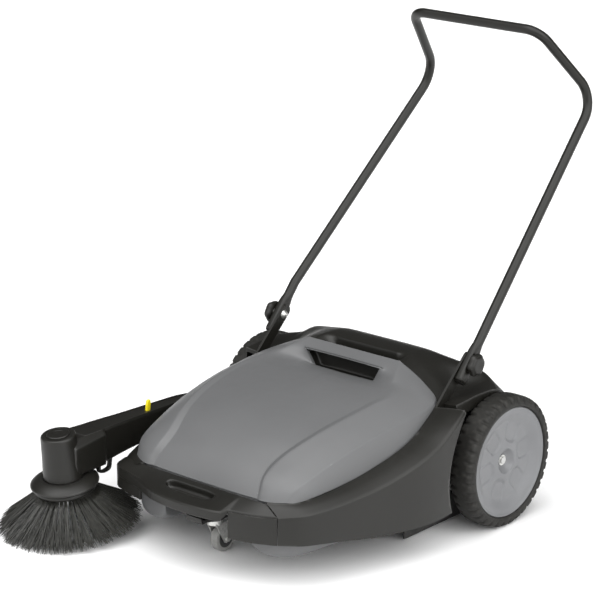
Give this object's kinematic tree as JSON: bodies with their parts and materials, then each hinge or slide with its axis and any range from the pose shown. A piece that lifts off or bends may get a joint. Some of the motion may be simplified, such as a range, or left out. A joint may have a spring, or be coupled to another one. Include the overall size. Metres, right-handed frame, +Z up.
{
  "type": "walk behind sweeper",
  "caption": "Push sweeper with a wheel-driven roller brush, lift-out waste bin, folding tube handle, caster and a lifting side brush.",
  "frame": {"origin": "on the floor, midway between the two wheels, straight below the wheel axle line", "axes": "+Z up, -Y forward in the direction of travel, +X towards the machine's left wheel"},
  "size_m": [0.86, 1.2422, 1.04],
  "materials": {
    "black_plastic": "moulded, fine grain, satin",
    "grey_plastic": "moulded, satin, light grey",
    "rim_grey": "moulded, satin, light grey",
    "knob_black": "moulded nylon",
    "handle_paint": "satin black powder coat",
    "bracket_paint": "satin black powder coat",
    "zinc": "zinc plated",
    "shaft_steel": "ground steel",
    "tyre": "black treaded rubber",
    "seal_rubber": "black rubber strip",
    "belt": "round drive belt",
    "gear_nylon": "dark nylon",
    "bristle": "black polypropylene bristles",
    "roller_bristle": "dark polypropylene bristles",
    "caster_rubber": "pale grey rubber",
    "caster_core": "dark hub",
    "yellow_plastic": "yellow moulded lever"
  },
  "bodies": {
    "chassis": {"chassis_frame": "black_plastic", "side_panel_left": "black_plastic", "side_panel_right": "black_plastic", "front_bar": "black_plastic", "front_skirt_left": "black_plastic", "front_skirt_right": "black_plastic", "rear_hood": "black_plastic", "stub_axles": "shaft_steel", "roller_bearings": "gear_nylon", "handle_bracket_left": "bracket_paint", "handle_bracket_right": "bracket_paint", "carriage_bolts": "zinc", "axle_clips": "zinc", "bracket_bolts": "zinc", "rear_seal": "seal_rubber", "side_seals": "seal_rubber", "jackshaft_bushes": "gear_nylon", "drive_belt": "belt", "caster_plate": "zinc", "caster_screws": "zinc", "clamp_washers": "zinc"},
    "left_wheel": {"wheel_rim_left": "rim_grey", "tyre_left": "tyre", "drive_gear_left": "gear_nylon"},
    "right_wheel": {"wheel_rim_right": "rim_grey", "tyre_right": "tyre", "drive_gear_right": "gear_nylon"},
    "left_pinion": {"pinion_left": "gear_nylon"},
    "roller": {"pinion_right": "gear_nylon", "roller_shaft": "shaft_steel", "roller_core": "gear_nylon", "roller_bristles": "roller_bristle", "roller_pulley": "gear_nylon"},
    "handle": {"handle_tube": "handle_paint", "handle_end_plugs": "knob_black"},
    "knob_left": {"clamp_knob_left": "knob_black"},
    "knob_right": {"clamp_knob_right": "knob_black"},
    "waste_bin": {"bin_cover": "grey_plastic", "bin_tub": "grey_plastic", "bin_grip_tray": "black_plastic", "bin_seal": "seal_rubber"},
    "jackshaft_body": {"jackshaft": "shaft_steel", "jackshaft_pulley": "gear_nylon", "arm_pulley": "gear_nylon"},
    "side_brush_arm": {"brush_arm": "black_plastic", "brush_arm_cover": "black_plastic", "brush_drum_cap": "black_plastic", "brush_guard_collar": "black_plastic", "lever_pin": "shaft_steel", "spindle_bushes": "gear_nylon", "brush_belt": "belt"},
    "lift_lever": {"brush_lift_lever": "yellow_plastic"},
    "side_brush": {"brush_spindle": "shaft_steel", "spindle_pulley": "gear_nylon", "brush_plate": "black_plastic", "side_brush_bristles": "bristle"},
    "caster_yoke": {"caster_fork": "zinc", "caster_axle": "zinc"},
    "caster_wheel": {"caster_hub": "caster_core", "caster_tyre": "caster_rubber"}
  },
  "joints": [
    {"name": "left_wheel_spin", "type": "hinge", "parent": "chassis", "child": "left_wheel", "pos_m": [0.336, 0, 0.148], "axis": [1, 0, 0], "continuous": true},
    {"name": "right_wheel_spin", "type": "hinge", "parent": "chassis", "child": "right_wheel", "pos_m": [-0.336, 0, 0.148], "axis": [1, 0, 0], "continuous": true},
    {"name": "left_pinion_spin", "type": "hinge", "parent": "chassis", "child": "left_pinion", "pos_m": [0.29, -0.11, 0.12442], "axis": [1, 0, 0], "continuous": true},
    {"name": "roller_spin", "type": "hinge", "parent": "chassis", "child": "roller", "pos_m": [0, -0.11, 0.12442], "axis": [1, 0, 0], "continuous": true},
    {"name": "jackshaft_spin", "type": "hinge", "parent": "chassis", "child": "jackshaft_body", "pos_m": [-0.3, -0.215, 0.19], "axis": [1, 0, 0], "continuous": true},
    {"name": "side_brush_arm_lift", "type": "hinge", "parent": "chassis", "child": "side_brush_arm", "pos_m": [-0.335, -0.215, 0.19], "axis": [1, 0, 0], "range_deg": [-8, 0]},
    {"name": "side_brush_spin", "type": "hinge", "parent": "side_brush_arm", "child": "side_brush", "pos_m": [-0.352, -0.65253, 0.08912], "axis": [0, -0.1392, 0.9903], "continuous": true},
    {"name": "lift_lever_turn", "type": "hinge", "parent": "side_brush_arm", "child": "lift_lever", "pos_m": [-0.338, -0.41, 0.206], "axis": [1, 0, 0], "range_deg": [-35, 0]},
    {"name": "handle_fold", "type": "hinge", "parent": "chassis", "child": "handle", "pos_m": [0, -0.038, 0.366], "axis": [-1, 0, 0], "range_deg": [-118, 12]},
    {"name": "knob_left_turn", "type": "hinge", "parent": "chassis", "child": "knob_left", "pos_m": [0.295, -0.038, 0.366], "axis": [1, 0, 0], "range_deg": [-720, 0]},
    {"name": "knob_right_turn", "type": "hinge", "parent": "chassis", "child": "knob_right", "pos_m": [-0.295, -0.038, 0.366], "axis": [-1, 0, 0], "range_deg": [-720, 0]},
    {"name": "waste_bin_lift", "type": "slide", "parent": "chassis", "child": "waste_bin", "axis": [0, 0, 1], "range_m": [0, 0.32]},
    {"name": "caster_swivel", "type": "hinge", "parent": "chassis", "child": "caster_yoke", "pos_m": [-0.018, -0.537, 0.075], "axis": [0, 0, 1], "continuous": true},
    {"name": "caster_wheel_spin", "type": "hinge", "parent": "caster_yoke", "child": "caster_wheel", "pos_m": [-0.018, -0.513, 0.03], "axis": [1, 0, 0], "continuous": true}
  ],
  "couplings": [
    {"joint": "left_pinion_spin", "follows": "left_wheel_spin", "ratio": -4},
    {"joint": "roller_spin", "follows": "right_wheel_spin", "ratio": -4},
    {"joint": "jackshaft_spin", "follows": "right_wheel_spin", "ratio": -4},
    {"joint": "side_brush_spin", "follows": "right_wheel_spin", "ratio": 2}
  ]
}
